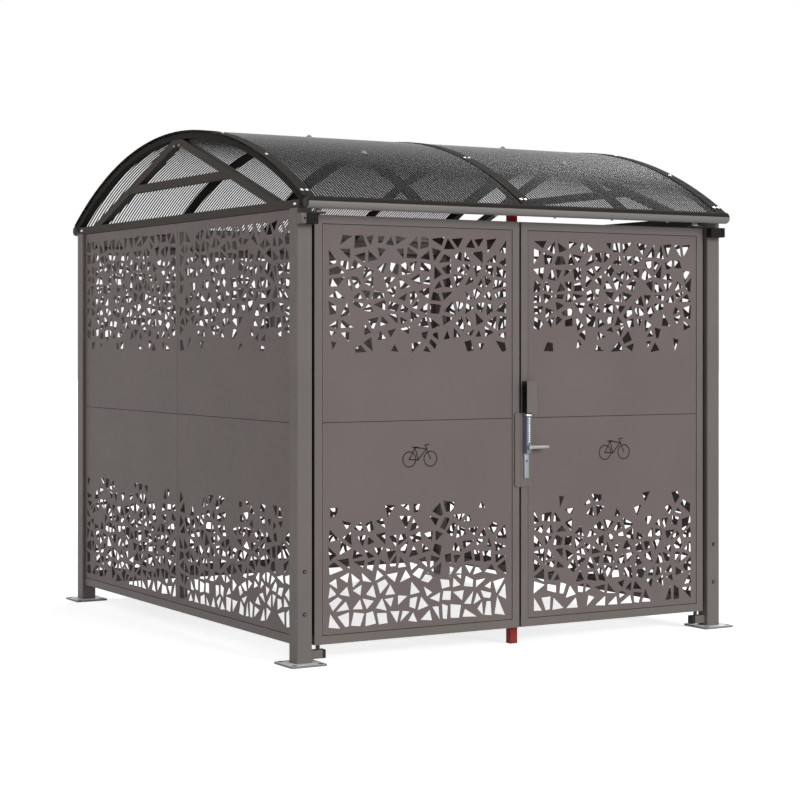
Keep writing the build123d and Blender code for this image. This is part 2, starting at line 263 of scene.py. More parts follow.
# Painted shade on the foot plates' sides and underside, darker than their tops
side_shade_colour = (0.2, 0.2, 0.205)
# Painted shade in and round the slots of the foot plates, and its inner and outer radius
slot_shade_colour = (0.03, 0.028, 0.026)
slot_shade_radii = (0.011, 0.018)
slot_reach = 0.069
brush_grain = (120, 4)
brush_shares = (0.86, 1.06)
brush_roughness_steps = (-0.05, 0.08)
brush_strength = 0.06
mould_cloud_grain = (25, 4)
mould_pale_share = 1.5
mould_grain = (420, 3)
mould_spread = 0.08
mould_strength = 0.2

# Places that follow from the frame
post_low, post_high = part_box("front_left_post")
roof_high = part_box("left_roof_sheet")[1]
arch_axis_height = roof_high.z - roof_radius
arch_half_angle = math.asin(roof_high.y / roof_radius)
foot_top = post_low.z
half_post = (post_high.x - post_low.x) / 2
foot_middle = Vector((abs(post_low.x) - half_post, abs(post_low.y) - half_post, foot_top))
slot_middle = Vector((slot_reach, slot_reach, 0))
pins = {joint["child"]: Vector(joint["pos_m"]) for joint in frame["joints"]}


# Finishes


def new_finish(name, roughness, metallic=0.0, gloss=0.5):
    """A material with its shader ready, its tree and an Object coordinate to read."""
    finish = bpy.data.materials.new(name)
    finish.use_nodes = True
    tree = finish.node_tree
    shader = tree.nodes["Principled BSDF"]
    shader.inputs["Roughness"].default_value = roughness
    shader.inputs["Metallic"].default_value = metallic
    shader.inputs["Specular IOR Level"].default_value = gloss
    place = tree.nodes.new("ShaderNodeTexCoord").outputs["Object"]
    return finish, tree, shader, place


def noise(tree, place, grain, stretch=(1, 1, 1)):
    """Cloudy noise over an object, with any stretch along its axes."""
    scale, detail = grain
    mapping = tree.nodes.new("ShaderNodeMapping")
    mapping.inputs["Scale"].default_value = stretch
    tree.links.new(place, mapping.inputs["Vector"])
    texture = tree.nodes.new("ShaderNodeTexNoise")
    texture.inputs["Scale"].default_value = scale
    texture.inputs["Detail"].default_value = detail
    tree.links.new(mapping.outputs["Vector"], texture.inputs["Vector"])
    return texture.outputs["Fac"]


def ramp(tree, factor, low, high, limits=noise_limits):
    """A colour between two, by a factor between its own limits."""
    node = tree.nodes.new("ShaderNodeValToRGB")
    first, last = node.color_ramp.elements
    first.position, last.position = limits
    first.color = (*low, 1)
    last.color = (*high, 1)
    tree.links.new(factor, node.inputs["Fac"])
    return node.outputs["Color"]


def spread(tree, factor, low, high, limits=noise_limits):
    """A number between two, by a factor between its own limits."""
    node = tree.nodes.new("ShaderNodeMapRange")
    node.inputs["From Min"].default_value, node.inputs["From Max"].default_value = limits
    node.inputs["To Min"].default_value = low
    node.inputs["To Max"].default_value = high
    tree.links.new(factor, node.inputs["Value"])
    return node.outputs["Result"]


def joined(tree, operation, first, second):
    """Two numbers joined by one operation."""
    node = tree.nodes.new("ShaderNodeMath")
    node.operation = operation
    tree.links.new(first, node.inputs[0])
    tree.links.new(second, node.inputs[1])
    return node.outputs["Value"]


def blended(tree, factor, base, colour):
    """A colour that gives way to another by a factor."""
    node = tree.nodes.new("ShaderNodeMix")
    node.data_type = "RGBA"
    tree.links.new(factor, node.inputs["Factor"])
    tree.links.new(base, node.inputs["A"])
    node.inputs["B"].default_value = (*colour, 1)
    return node.outputs["Result"]


def raise_bumps(tree, shader, height, strength):
    """Fine bumps on a surface from a height."""
    node = tree.nodes.new("ShaderNodeBump")
    node.inputs["Strength"].default_value = strength
    node.inputs["Distance"].default_value = fine_depth
    tree.links.new(height, node.inputs["Height"])
    tree.links.new(node.outputs["Normal"], shader.inputs["Normal"])


def times(colour, share):
    """A colour made darker or paler."""
    return [part * share for part in colour]


def powder_coat(name, colour, roughness, gloss):
    """Baked paint with fine orange peel, faint clouds and a little dust towards the ground."""
    finish, tree, shader, place = new_finish(name, roughness, 0, gloss)
    dark, pale = [times(colour, share) for share in cloud_shares]
    clouds = ramp(tree, noise(tree, place, cloud_grain), dark, pale)
    parted = tree.nodes.new("ShaderNodeSeparateXYZ")
    tree.links.new(place, parted.inputs["Vector"])
    lowness = spread(tree, parted.outputs["Z"], dust_most_share, 0, dust_heights)
    dust = joined(tree, "MULTIPLY", lowness, noise(tree, place, dust_grain))
    tree.links.new(blended(tree, dust, clouds, dust_colour), shader.inputs["Base Color"])
    patches = noise(tree, place, patch_grain)
    sheen = spread(tree, patches, roughness - patch_spread, roughness + patch_spread)
    tree.links.new(sheen, shader.inputs["Roughness"])
    raise_bumps(tree, shader, noise(tree, place, peel_grain), peel_strength)
    return finish


def drawn_plastic(name, colour, gloss):
    """Plastic with faint drawn lines along the arch."""
    finish, tree, shader, place = new_finish(name, drawn_roughness, 0, gloss)
    dark, pale = [times(colour, share) for share in drawn_shares]
    lines = noise(tree, place, drawn_grain, drawn_stretch)
    tree.links.new(ramp(tree, lines, dark, pale), shader.inputs["Base Color"])
    return finish, tree, shader


def clear_plastic(name, colour, gloss):
    """See-through drawn plastic that closes up towards a grazing view."""
    finish, tree, shader = drawn_plastic(name, colour, gloss)
    slant = tree.nodes.new("ShaderNodeLayerWeight").outputs["Facing"]
    tree.links.new(spread(tree, slant, *skin_alphas, skin_slants), shader.inputs["Alpha"])
    return finish


def slot_distance(tree, place):
    """How far a point lies from the middle of the nearest slot in the foot plates."""
    for middle in (foot_middle, slot_middle):
        folded = tree.nodes.new("ShaderNodeVectorMath")
        folded.operation = "ABSOLUTE"
        tree.links.new(place, folded.inputs[0])
        moved = tree.nodes.new("ShaderNodeVectorMath")
        moved.operation = "SUBTRACT"
        moved.inputs[1].default_value = middle
        tree.links.new(folded.outputs["Vector"], moved.inputs[0])
        place = moved.outputs["Vector"]
    length = tree.nodes.new("ShaderNodeVectorMath")
    length.operation = "LENGTH"
    tree.links.new(place, length.inputs[0])
    return length.outputs["Value"]


def galvanised(name, dark, pale):
    """Zinc with flat crystals and a cloudy sheen, and painted shade on its sides and round the slots."""
    finish, tree, shader, place = new_finish(name, zinc_roughnesses[0], 0, zinc_gloss)
    crystals = tree.nodes.new("ShaderNodeTexVoronoi")
    crystals.inputs["Scale"].default_value = crystal_scale
    tree.links.new(place, crystals.inputs["Vector"])
    flat = ramp(tree, crystals.outputs["Color"], dark, pale, crystal_limits)
    slope = tree.nodes.new("ShaderNodeSeparateXYZ")
    tree.links.new(tree.nodes.new("ShaderNodeTexCoord").outputs["Normal"], slope.inputs["Vector"])
    # Painted shade on every face that does not look straight up
    side_shaded = blended(tree, spread(tree, slope.outputs["Z"], 1, 0), flat, side_shade_colour)
    # Painted shade round the middle of each slot
    slot_shade = spread(tree, slot_distance(tree, place), 1, 0, slot_shade_radii)
    tree.links.new(blended(tree, slot_shade, side_shaded, slot_shade_colour), shader.inputs["Base Color"])
    sheen = spread(tree, noise(tree, place, zinc_cloud_grain), *zinc_roughnesses)
    tree.links.new(sheen, shader.inputs["Roughness"])
    raise_bumps(tree, shader, noise(tree, place, zinc_grain), zinc_strength)
    return finish


def brushed_metal(name, colour, roughness, metallic, stretch):
    """Metal with fine lines along one axis."""
    finish, tree, shader, place = new_finish(name, roughness, metallic)
    dark, pale = [times(colour, share) for share in brush_shares]
    lines = noise(tree, place, brush_grain, stretch)
    tree.links.new(ramp(tree, lines, dark, pale), shader.inputs["Base Color"])
    smooth, rough = [roughness + step for step in brush_roughness_steps]
    tree.links.new(spread(tree, lines, smooth, rough), shader.inputs["Roughness"])
    raise_bumps(tree, shader, lines, brush_strength)
    return finish


def moulded(name, colour, roughness, gloss):
    """Rubber or plastic with a fine moulded grain."""
    finish, tree, shader, place = new_finish(name, roughness, 0, gloss)
    grain = noise(tree, place, mould_grain)
    clouds = ramp(tree, noise(tree, place, mould_cloud_grain), colour, times(colour, mould_pale_share))
    tree.links.new(clouds, shader.inputs["Base Color"])
    patches = spread(tree, grain, roughness - mould_spread, roughness + mould_spread)
    tree.links.new(patches, shader.inputs["Roughness"])
    raise_bumps(tree, shader, grain, mould_strength)
    return finish


frame_coat = powder_coat("frame_powder_coat", (0.140, 0.121, 0.114), 0.5, 0.25)
sheet_coat = powder_coat("sheet_powder_coat", (0.138, 0.112, 0.108), 0.55, 0.25)
roof_coat = powder_coat("roof_powder_coat", (0.031, 0.027, 0.024), 0.65, 0.02)
truss_coat = powder_coat("truss_powder_coat", (0.064, 0.056, 0.050), 0.6, 0.05)
tube_coat = powder_coat("tube_powder_coat", (0.185, 0.177, 0.167), 0.45, 0.3)
red_coat = powder_coat("red_paint", (0.29, 0.006, 0.003), 0.45, 0.12)
smoked_skin = clear_plastic("smoked_skin", (0.15, 0.15, 0.151), 0.2)
smoked_rib = drawn_plastic("smoked_rib", (0.011, 0.011, 0.011), 0.03)[0]
zinc = galvanised("zinc_plate", (0.78, 0.79, 0.80), (0.93, 0.94, 0.95))
case_steel = brushed_metal("lock_case_steel", (0.15, 0.17, 0.205), 0.4, 0.4, (1, 1, 0.08))
plate_steel = brushed_metal("keyhole_plate_steel", (0.27, 0.30, 0.315), 0.45, 0.3, (1, 1, 0.08))
lever_steel = brushed_metal("lever_steel", (0.32, 0.33, 0.32), 0.35, 0.5, (0.08, 1, 1))
washer_steel = brushed_metal("washer_steel", (0.25, 0.25, 0.25), 0.45, 0.5, (1, 1, 1))
bright_steel = brushed_metal("screw_steel", (0.78, 0.78, 0.78), 0.25, 0.9, (1, 1, 1))
hinge_steel = brushed_metal("hinge_steel", (0.2, 0.195, 0.19), 0.4, 0.7, (1, 1, 6))
rubber = moulded("black_rubber", (0.007, 0.007, 0.007), 0.7, 0.15)
plastic = moulded("black_plastic", (0.008, 0.008, 0.008), 0.55, 0.25)
sign_dark = moulded("sign_dark", (0.014, 0.011, 0.010), 0.7, 0.2)

finish_of_slot = {
    "frame_paint": frame_coat,
    "sheet_paint": sheet_coat,
    "roof_paint": roof_coat,
    "smoked_sheet": smoked_skin,
    "galvanised_steel": zinc,
    "black_rubber": rubber,
    "black_plastic": plastic,
    "red_paint": red_coat,
    "lock_metal": plate_steel,
}


# Making pieces


def new_object(name, mesh, finishes):
    """An object at the origin from a bmesh, smooth but for its sharp edges."""
    data = bpy.data.meshes.new(name)
    mesh.to_mesh(data)
    mesh.free()
    for finish in finishes:
        data.materials.append(finish)
    data.shade_smooth()
    data.set_sharp_from_angle(angle=math.radians(sharp_angle))
    made = bpy.data.objects.new(name, data)
    bpy.context.scene.collection.objects.link(made)
    return made


def add_piece(name, mesh, body, finishes, replaced=()):
    """A finished piece from a bmesh, on its body and in its material slot."""
    made = new_object(name, mesh, finishes)
    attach(made, body)
    if replaced:
        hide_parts(*replaced)


def round_edges(mesh, edges, size, segments):
    """Edges rounded off, or sloped where one segment is given."""
    bmesh.ops.bevel(mesh, geom=list(edges), offset=size, segments=segments, profile=0.5, affect="EDGES",
                    material=-1)


def add_box(mesh, low, high, edge=0.0, finish=0):
    """A box between two corners, with rounded edges where an edge is given."""
    low = Vector(low)
    high = Vector(high)
    place = Matrix.Translation((low + high) / 2) @ Matrix.Diagonal((*(high - low), 1))
    corners = bmesh.ops.create_cube(mesh, size=1, matrix=place)["verts"]
    for face in {face for corner in corners for face in corner.link_faces}:
        face.material_index = finish
    if edge:
        edges = {side for corner in corners for side in corner.link_edges}
        round_edges(mesh, edges, edge, edge_segments)


def add_disc(mesh, place, radius, top_radius, height, segments, finish=0):
    """A round stud that stands on a place's XY plane and points along its Z."""
    lifted = place @ Matrix.Translation((0, 0, height / 2))
    corners = bmesh.ops.create_cone(mesh, cap_ends=True, segments=segments, radius1=radius,
                                    radius2=top_radius, depth=height, matrix=lifted)["verts"]
    for face in {face for corner in corners for face in corner.link_faces}:
        face.material_index = finish


def facing(place, direction):
    """A place whose Z points in a direction."""
    return Matrix.Translation(place) @ Vector(direction).to_track_quat("Z", "Y").to_matrix().to_4x4()


# Shards


def clipped(outline, point, normal):
    """The part of a convex outline behind a line, with points of a sheet as complex numbers."""
    sides = [((corner - point) * normal.conjugate()).real for corner in outline]
    kept = []
    for index, corner in enumerate(outline):
        following = (index + 1) % len(outline)
        if sides[index] <= 0:
            kept.append(corner)
        if sides[index] * sides[following] < 0:
            crossing_share = sides[index] / (sides[index] - sides[following])
            kept.append(corner + (outline[following] - corner) * crossing_share)
    return kept


def seed_points(dice, low, cell, columns, rows):
    """A loose grid of points, from a band's outer edge inwards."""
    seeds = {}
    for row in range(rows):
        for column in range(columns):
            across_share = column + 1 / 2 + dice.uniform(-shard_scatter_share, shard_scatter_share)
            inward_share = row + 1 / 2 + dice.uniform(-shard_scatter_share, shard_scatter_share)
            seeds[column, row] = low + complex(across_share * cell.real, inward_share * cell.imag)
    return seeds


def seed_cell(seeds, place, corners):
    """What lies nearer to one seed than to its neighbours, with half a web taken off all round."""
    column, row = place
    seed = seeds[place]
    outline = corners
    reach = range(-neighbour_reach, neighbour_reach + 1)
    for column_step in reach:
        for row_step in reach:
            other = seeds.get((column + column_step, row + row_step), seed)
            if other == seed:
                continue
            normal = (other - seed) / abs(other - seed)
            outline = clipped(outline, (seed + other) / 2 - normal * shard_web / 2, normal)
    return outline


def outline_area(outline):
    """The area inside a convex outline."""
    pairs = zip(outline, outline[1:] + outline[:1])
    return abs(sum((first.conjugate() * second).imag for first, second in pairs)) / 2


def plainer(outline, corner_count):
    """A convex outline that has lost the corners it can best spare."""
    while len(outline) > corner_count:
        remainders = [outline[:index] + outline[index + 1:] for index in range(len(outline))]
        outline = max(remainders, key=outline_area)
    return outline


def shard_band(dice, x_range, outer_z, inner_z):
    """The shards of a band. Each is the cell of a point in a loose grid, cut down to three or four
    corners, and they thin out towards the plain middle of the sheet."""
    size = complex(x_range[1] - x_range[0], inner_z - outer_z)
    columns = max(1, round(size.real / shard_pitch))
    rows = max(1, round(abs(size.imag) / shard_pitch))
    low = complex(x_range[0], outer_z)
    corners = [low, low + size.real, low + size, low + 1j * size.imag]
    seeds = seed_points(dice, low, complex(size.real / columns, size.imag / rows), columns, rows)
    shards = []
    for place in seeds:
        fade_share = max(0, ((place[1] + 1 / 2) / rows - solid_rows_share) / (1 - solid_rows_share))
        outline = plainer(seed_cell(seeds, place, corners), dice.choice(shard_corner_counts))
        size_share = 1 - fade_share * dice.uniform(0, 1 - smallest_shard_share)
        blank_share = first_blank_share + fade_share * (last_blank_share - first_blank_share)
        if dice.random() > blank_share:
            middle = sum(outline) / len(outline)
            change = cmath.rect(size_share, math.radians(dice.uniform(-shard_turn, shard_turn)))
            shards.append([middle + (corner - middle) * change for corner in outline])
    return shards


# Sheets, and strips of painted shade in their gaps


def add_sheet(mesh, seed, x_range, z_range, y_range, margin, upper):
    """One flat sheet with all its shards cut through."""
    dice = random.Random(seed)
    left, right = x_range
    low, high = z_range
    if upper:
        band = high - upper_band_margin, upper_band_bottom
    else:
        band = low + lower_band_margin, lower_band_top
    rim = [complex(left, low), complex(right, low), complex(right, high), complex(left, high)]
    edges = []
    for outline in [rim] + shard_band(dice, (left + margin, right - margin), *band):
        corners = [mesh.verts.new((corner.real, y_range[0], corner.imag)) for corner in outline]
        for index, corner in enumerate(corners):
            edges.append(mesh.edges.new((corners[index - 1], corner)))
    filled = bmesh.ops.triangle_fill(mesh, use_beauty=True, use_dissolve=False, edges=edges)["geom"]
    faces = [made for made in filled if isinstance(made, bmesh.types.BMFace)]
    drawn = bmesh.ops.extrude_face_region(mesh, geom=faces)["geom"]
    backs = [made for made in drawn if isinstance(made, bmesh.types.BMVert)]
    bmesh.ops.translate(mesh, vec=(0, y_range[1] - y_range[0], 0), verts=backs)


def between_seams(limits, seams):
    """The limits of the sheets along one axis, with a gap at each seam."""
    half_gap = sheet_gap / 2
    starts = [limits[0]] + [seam + half_gap for seam in seams]
    ends = [seam - half_gap for seam in seams] + [limits[1]]
    return list(zip(starts, ends))


def add_gap_shade_strips(mesh, x_range, z_range, y_range, seams):
    """Strips in the gaps round a group of sheets, along the seams and across the joint between them: black ones as
    painted shade in the gaps, and ones in the sheet's paint at the upright seams.
    """
    left, right = x_range
    low, high = z_range
    front = y_range[0] + gap_shade_recess
    half_gap = sheet_gap / 2
    for x in [left - half_gap, *seams, right + half_gap]:
        finish = 1 if x in seams else 0
        add_box(mesh, (x - half_gap, front, low - sheet_gap),
                (x + half_gap, y_range[1], high + sheet_gap), 0, finish)
    for z in [low - half_gap, joint_height, high + half_gap]:
        add_box(mesh, (left, front + gap_shade_step, z - half_gap), (right, y_range[1], z + half_gap))


def make_sheets(name, body, turn, seams, margin, first_seed):
    """The sheets of one wall or leaf and the strips of painted shade in their gaps, made at the front and turned
    to their side.
    """
    node = f"{name}_sheets"
    place = Matrix.Rotation(math.radians(turn), 4, "Z")
    ends = [place.inverted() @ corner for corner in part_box(node)]
    x_range, y_range, z_range = [sorted(pair) for pair in zip(*ends)]
    sheets = bmesh.new()
    rows = between_seams(z_range, [joint_height])
    for bay, across in enumerate(between_seams(x_range, seams)):
        for upper, heights in enumerate(rows):
            seed = first_seed + len(rows) * bay + upper
            add_sheet(sheets, seed, across, heights, y_range, margin, upper)
    # Black strips in the gaps round the sheets, painted shade
    gap_shade_strips = bmesh.new()
    add_gap_shade_strips(gap_shade_strips, x_range, z_range, y_range, seams)
    for mesh in (sheets, gap_shade_strips):
        bmesh.ops.recalc_face_normals(mesh, faces=mesh.faces)
        bmesh.ops.transform(mesh, matrix=place, verts=mesh.verts)
    add_piece(f"{name}_cut_sheets", sheets, body, [sheet_coat], [node])
    add_piece(f"{name}_gaskets", gap_shade_strips, body, [rubber, sheet_coat])


for name, first_seed in wall_seeds.items():
    make_sheets(f"{name}_wall", "shelter", wall_turns[name], [0], wall_shard_margin, first_seed)
for name, first_seed in door_seeds.items():
    make_sheets(f"{name}_door", f"{name}_door", 0, [], door_shard_margin, first_seed)


# Bicycle sign


def add_ring(mesh, hub, y_range):
    """A flat ring that faces the front, for a wheel."""
    centre = Vector((hub[0], 0, hub[1]))
    inner = sign_wheel_radius - sign_line / 2
    outer = sign_wheel_radius + sign_line / 2
    corners = [(inner, y_range[0]), (outer, y_range[0]), (outer, y_range[1]), (inner, y_range[1])]
    made = [mesh.verts.new(centre + Vector((radius, y, 0))) for radius, y in corners]
    edges = [mesh.edges.new((made[index - 1], corner)) for index, corner in enumerate(made)]
    bmesh.ops.spin(mesh, geom=made + edges, cent=centre, axis=(0, 1, 0), angle=math.tau, steps=sign_steps,
                   use_merge=True)


def add_bar(mesh, start, end, y_range):
    """A flat bar that faces the front, between two points."""
    along = Vector(end) - Vector(start)
    middle = (Vector(start) + Vector(end)) / 2
    turn = Matrix.Rotation(math.atan2(-along.y, along.x), 4, "Y")
    size = Matrix.Diagonal((along.length + sign_line, y_range[1] - y_range[0], sign_line, 1))
    place = Matrix.Translation((middle.x, sum(y_range) / 2, middle.y))
    bmesh.ops.create_cube(mesh, size=1, matrix=place @ turn @ size)


def make_signs():
    """A plain bicycle in dark lines on each leaf."""
    saddle_ends = [(sign_saddle[0] + side * sign_saddle_half, sign_saddle[1]) for side in (-1, 1)]
    bars = [(sign_rear_hub, sign_crank), (sign_rear_hub, sign_saddle), (sign_crank, sign_saddle),
            (sign_crank, sign_head), (sign_saddle, sign_head), (sign_front_hub, sign_stem),
            (sign_stem, sign_grip), saddle_ends]
    for name in door_seeds:
        low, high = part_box(f"{name}_door_sheets")
        y_range = (low.y - sign_proud, low.y)
        mesh = bmesh.new()
        for hub in (sign_rear_hub, sign_front_hub):
            add_ring(mesh, hub, y_range)
        for start, end in bars:
            add_bar(mesh, start, end, y_range)
        bmesh.ops.translate(mesh, vec=((low.x + high.x) / 2, 0, sign_height), verts=mesh.verts)
        bmesh.ops.recalc_face_normals(mesh, faces=mesh.faces)
        add_piece(f"{name}_door_sign", mesh, f"{name}_door", [sign_dark])


make_signs()


# Roof


def sweep(mesh, bands):
    """Bands bent round the roof's axis from eave to eave, each between two X places and two radii."""
    start = Matrix.Translation((0, 0, arch_axis_height)) @ Matrix.Rotation(arch_half_angle, 4, "X")
    for left, right, inner, outer in bands:
        corners = [(left, inner), (right, inner), (right, outer), (left, outer)]
        mesh.faces.new([mesh.verts.new(start @ Vector((x, 0, radius))) for x, radius in corners])
    bmesh.ops.spin(mesh, geom=[*mesh.verts, *mesh.edges, *mesh.faces], cent=(0, 0, arch_axis_height),
                   axis=(1, 0, 0), angle=-2 * arch_half_angle, steps=roof_steps, use_merge=False)
    bmesh.ops.recalc_face_normals(mesh, faces=mesh.faces)


def make_roof_sheets():
    """Two bent sheets with see-through skins, and the ribs inside them."""
    half_rib = rib_width / 2
    rib_outer = roof_radius - rib_inset
    rib_inner = rib_outer - rib_height
    for name in ("left", "right"):
        low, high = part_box(f"{name}_roof_sheet")
        skins = bmesh.new()
        sweep(skins, [(low.x, high.x, roof_radius - roof_sheet_thickness, roof_radius)])
        add_piece(f"{name}_roof_skins", skins, "shelter", [smoked_skin],
                  [f"{name}_roof_sheet"])
        count = round((high.x - low.x) / rib_pitch)
        middles = [low.x + (high.x - low.x) * (index + 1 / 2) / count for index in range(count)]
        ribs = bmesh.new()
        sweep(ribs, [(middle - half_rib, middle + half_rib, rib_inner, rib_outer) for middle in middles])
        add_piece(f"{name}_roof_ribs", ribs, "shelter", [smoked_rib])


def make_eaves():
    """Dark sleeves that lap the tubes from above, and plugs in the tubes' ends."""
    first_angle, last_angle = [math.radians(angle) for angle in sleeve_angles]
    for name, side in (("front", -1), ("rear", 1)):
        low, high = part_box(f"{name}_eave_tube")
        middle = (low + high) / 2
        radius = (high.z - low.z) / 2
        inner = radius + sleeve_gap
        outer = inner + sleeve_thickness
        mesh = bmesh.new()
        start = Matrix.Translation((0, middle.y, middle.z)) @ Matrix.Rotation(side * first_angle, 4, "X")
        corners = [(low.x, inner), (high.x, inner), (high.x, outer), (low.x, outer)]
        places = [start @ Vector((x, side * reach, 0)) for x, reach in corners]
        face = mesh.faces.new([mesh.verts.new(place) for place in places])
        bmesh.ops.spin(mesh, geom=[*face.verts, *face.edges, face], cent=middle, axis=(1, 0, 0),
                       angle=side * (last_angle - first_angle), steps=sleeve_steps, use_merge=False)
        bmesh.ops.recalc_face_normals(mesh, faces=mesh.faces)
        add_piece(f"{name}_eave_sleeve", mesh, "shelter", [roof_coat])
        mesh = bmesh.new()
        for x, direction in ((low.x, -1), (high.x, 1)):
            place = facing((x, middle.y, middle.z), (direction, 0, 0))
            add_disc(mesh, place, radius - plug_inset, radius - plug_height, plug_height, plug_segments)
        add_piece(f"{name}_tube_plugs", mesh, "shelter", [plastic])
        mesh = bmesh.new()
        for index in range(tube_screw_count):
            x = tube_screw_start + index * tube_screw_spacing
            add_screw(mesh, facing((x, middle.y, low.z), (0, 0, -1)))
        add_piece(f"{name}_tube_screws", mesh, "shelter", [washer_steel])


def on_roof(x, angle, radius):
    """A place on the roof that faces outwards, with angles in degrees from the top towards the back."""
    turned = Matrix.Rotation(math.radians(-angle), 4, "X")
    return Matrix.Translation((x, 0, arch_axis_height)) @ turned @ Matrix.Translation((0, 0, radius))


def add_screw(mesh, place):
    """A small domed screw head on its washer."""
    foot_segments, head_segments = screw_segments
    head_radius = screw_radius * screw_head_share
    add_disc(mesh, place, screw_radius, screw_radius, screw_height * screw_foot_share, foot_segments)
    add_disc(mesh, place, head_radius, screw_radius * screw_top_share, screw_height, head_segments)


def add_washer(mesh, place):
    """A wide domed washer with its screw head."""
    head_height = washer_height + screw_height / 2
    add_disc(mesh, place, washer_radius, washer_radius * washer_top_share, washer_height, washer_segments)
    add_disc(mesh, place, screw_radius, screw_radius * screw_head_share, head_height, screw_segments[1])


def make_roof_screws():
    """Screws along the cap strips, and domed washers over the hoops between them."""
    mesh = bmesh.new()
    pair = (-screw_pair_spread, screw_pair_spread)
    for name in ("left_end", "right_end"):
        low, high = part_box(f"{name}_cap_strip")
        for angle in end_cap_screw_angles:
            is_pair = angle in (end_cap_screw_angles[0], end_cap_screw_angles[-1])
            for turn in sorted({-angle, angle}):
                for shift in pair if is_pair else (0,):
                    x = (low.x + high.x) / 2 + shift
                    add_screw(mesh, on_roof(x, turn, high.z - arch_axis_height))
    low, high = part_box("centre_cap_strip")
    for angle in centre_cap_screw_angles:
        for turn in (-angle, angle):
            for shift in pair:
                x = (low.x + high.x) / 2 + shift
                add_screw(mesh, on_roof(x, turn, high.z - arch_axis_height))
    add_piece("roof_screws", mesh, "shelter", [bright_steel])
    mesh = bmesh.new()
    for name in ("left_quarter", "right_quarter"):
        low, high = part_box(f"{name}_hoop")
        for angle in hoop_washer_angles:
            for turn in (-angle, angle):
                add_washer(mesh, on_roof((low.x + high.x) / 2, turn, roof_radius))
    add_piece("roof_washers", mesh, "shelter", [washer_steel])


make_roof_sheets()
make_eaves()
make_roof_screws()


# Bolts, hinges and buffers


def make_bolts():
    """Bolt heads on the posts' outer faces and at the joints of the trusses."""
    mesh = bmesh.new()
    for end in ("front", "rear"):
        for side in ("left", "right"):
            low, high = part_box(f"{end}_{side}_post")
            face_y = low.y if end == "front" else high.y
            for height in post_bolt_heights:
                place = facing(((low.x + high.x) / 2, face_y, height), (0, face_y, 0))
                head_radius = bolt_radius / 2
                top_radius = head_radius * bolt_top_share
                add_disc(mesh, place, bolt_radius, bolt_radius, bolt_height / 2, bolt_washer_segments)
                add_disc(mesh, place, head_radius, top_radius, bolt_height, hexagon_sides, 1)
    add_piece("post_bolts", mesh, "shelter", [roof_coat, washer_steel])
    mesh = bmesh.new()
    for side in ("left", "right"):
        low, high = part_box(f"{side}_gable_chord")
        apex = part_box(f"{side}_gable_rafters")[1].z - apex_bolt_drop
        face_x = low.x if side == "left" else high.x
        middle_z = (low.z + high.z) / 2
        places = [(low.y + half_post, middle_z, 0), (high.y - half_post, middle_z, 0),
                  (-apex_bolt_spread, apex, 1), (apex_bolt_spread, apex, 1)]
        for y, z, finish in places:
            place = facing((face_x, y, z), (face_x, 0, 0))
            top_radius = bolt_radius * bolt_top_share
            add_disc(mesh, place, bolt_radius, top_radius, bolt_height, bolt_segments, finish)
    add_piece("truss_bolts", mesh, "shelter", [bright_steel, hinge_steel])


def make_hinge_metal():
    """Ribbed bushes under the leaves, and washers and heads on the upper hinge pins."""
    bushes = bmesh.new()
    heads = bmesh.new()
    bush_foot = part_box("bracket_caps")[1].z
    half_ring = (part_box("right_door_frame")[0].z - bush_gap - bush_foot) / bush_rings / 2
    waist = bush_radius * bush_waist_share
    hanger_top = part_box("hinge_hangers")[1].z
    for body in ("left_door", "right_door"):
        x, y, z = pins[body]
        for ring in range(bush_rings):
            place = Matrix.Translation((x, y, bush_foot + 2 * ring * half_ring))
            middle = place @ Matrix.Translation((0, 0, half_ring))
            add_disc(bushes, place, waist, bush_radius, half_ring, bush_segments)
            add_disc(bushes, middle, bush_radius, waist, half_ring, bush_segments)
        head = Matrix.Translation((x, y, hanger_top))
        top_radius = pin_head_radius * pin_top_share
        add_disc(heads, head, pin_washer_radius, pin_washer_radius, pin_washer_height, pin_washer_segments)
        add_disc(heads, head, pin_head_radius, top_radius, pin_head_height, hexagon_sides)
    add_piece("hinge_bushes", bushes, "shelter", [hinge_steel])
    add_piece("hinge_pin_heads", heads, "shelter", [bright_steel])


def make_buffers():
    """Rubber blocks in steel holders on the front posts, with a bolt through each holder."""
    low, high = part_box("door_buffers")
    mesh = bmesh.new()
    for outer, inward, finish in ((low.x, 1, 1), (high.x, -1, 0)):
        split = outer + inward * holder_width
        fold = outer + inward * holder_fold
        left, right = sorted((split + inward * holder_edge, outer + inward * buffer_width))
        add_box(mesh, (left, low.y, low.z), (right, high.y, high.z), buffer_edge)
        left, right = sorted((outer, split))
        add_box(mesh, (left, low.y + holder_recess, low.z), (right, high.y, high.z), holder_edge, finish)
        left, right = sorted((outer, fold))
        add_box(mesh, (left, low.y, low.z), (right, low.y + holder_recess, high.z), holder_edge, finish)
        place = facing(((fold + split) / 2, low.y + holder_recess, (low.z + high.z) / 2), (0, -1, 0))
        head_radius = bolt_radius * bolt_top_share
        add_disc(mesh, place, head_radius, bolt_radius / 2, holder_recess, hexagon_sides, 2)
    add_piece("buffer_blocks", mesh, "shelter", [rubber, frame_coat, roof_coat],
              ["door_buffers"])


def make_seals():
    """Rubber strips down both upright edges of each leaf."""
    for body in ("left_door", "right_door"):
        low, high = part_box(f"{body}_frame")
        mesh = bmesh.new()
        for x, side in ((low.x, -1), (high.x, 1)):
            left, right = sorted((x, x + side * seal_thickness))
            add_box(mesh, (left, low.y + seal_inset, low.z + seal_end_margin),
                    (right, high.y - seal_inset, high.z - seal_end_margin), seal_edge)
        add_piece(f"{body}_edge_seals", mesh, body, [rubber])


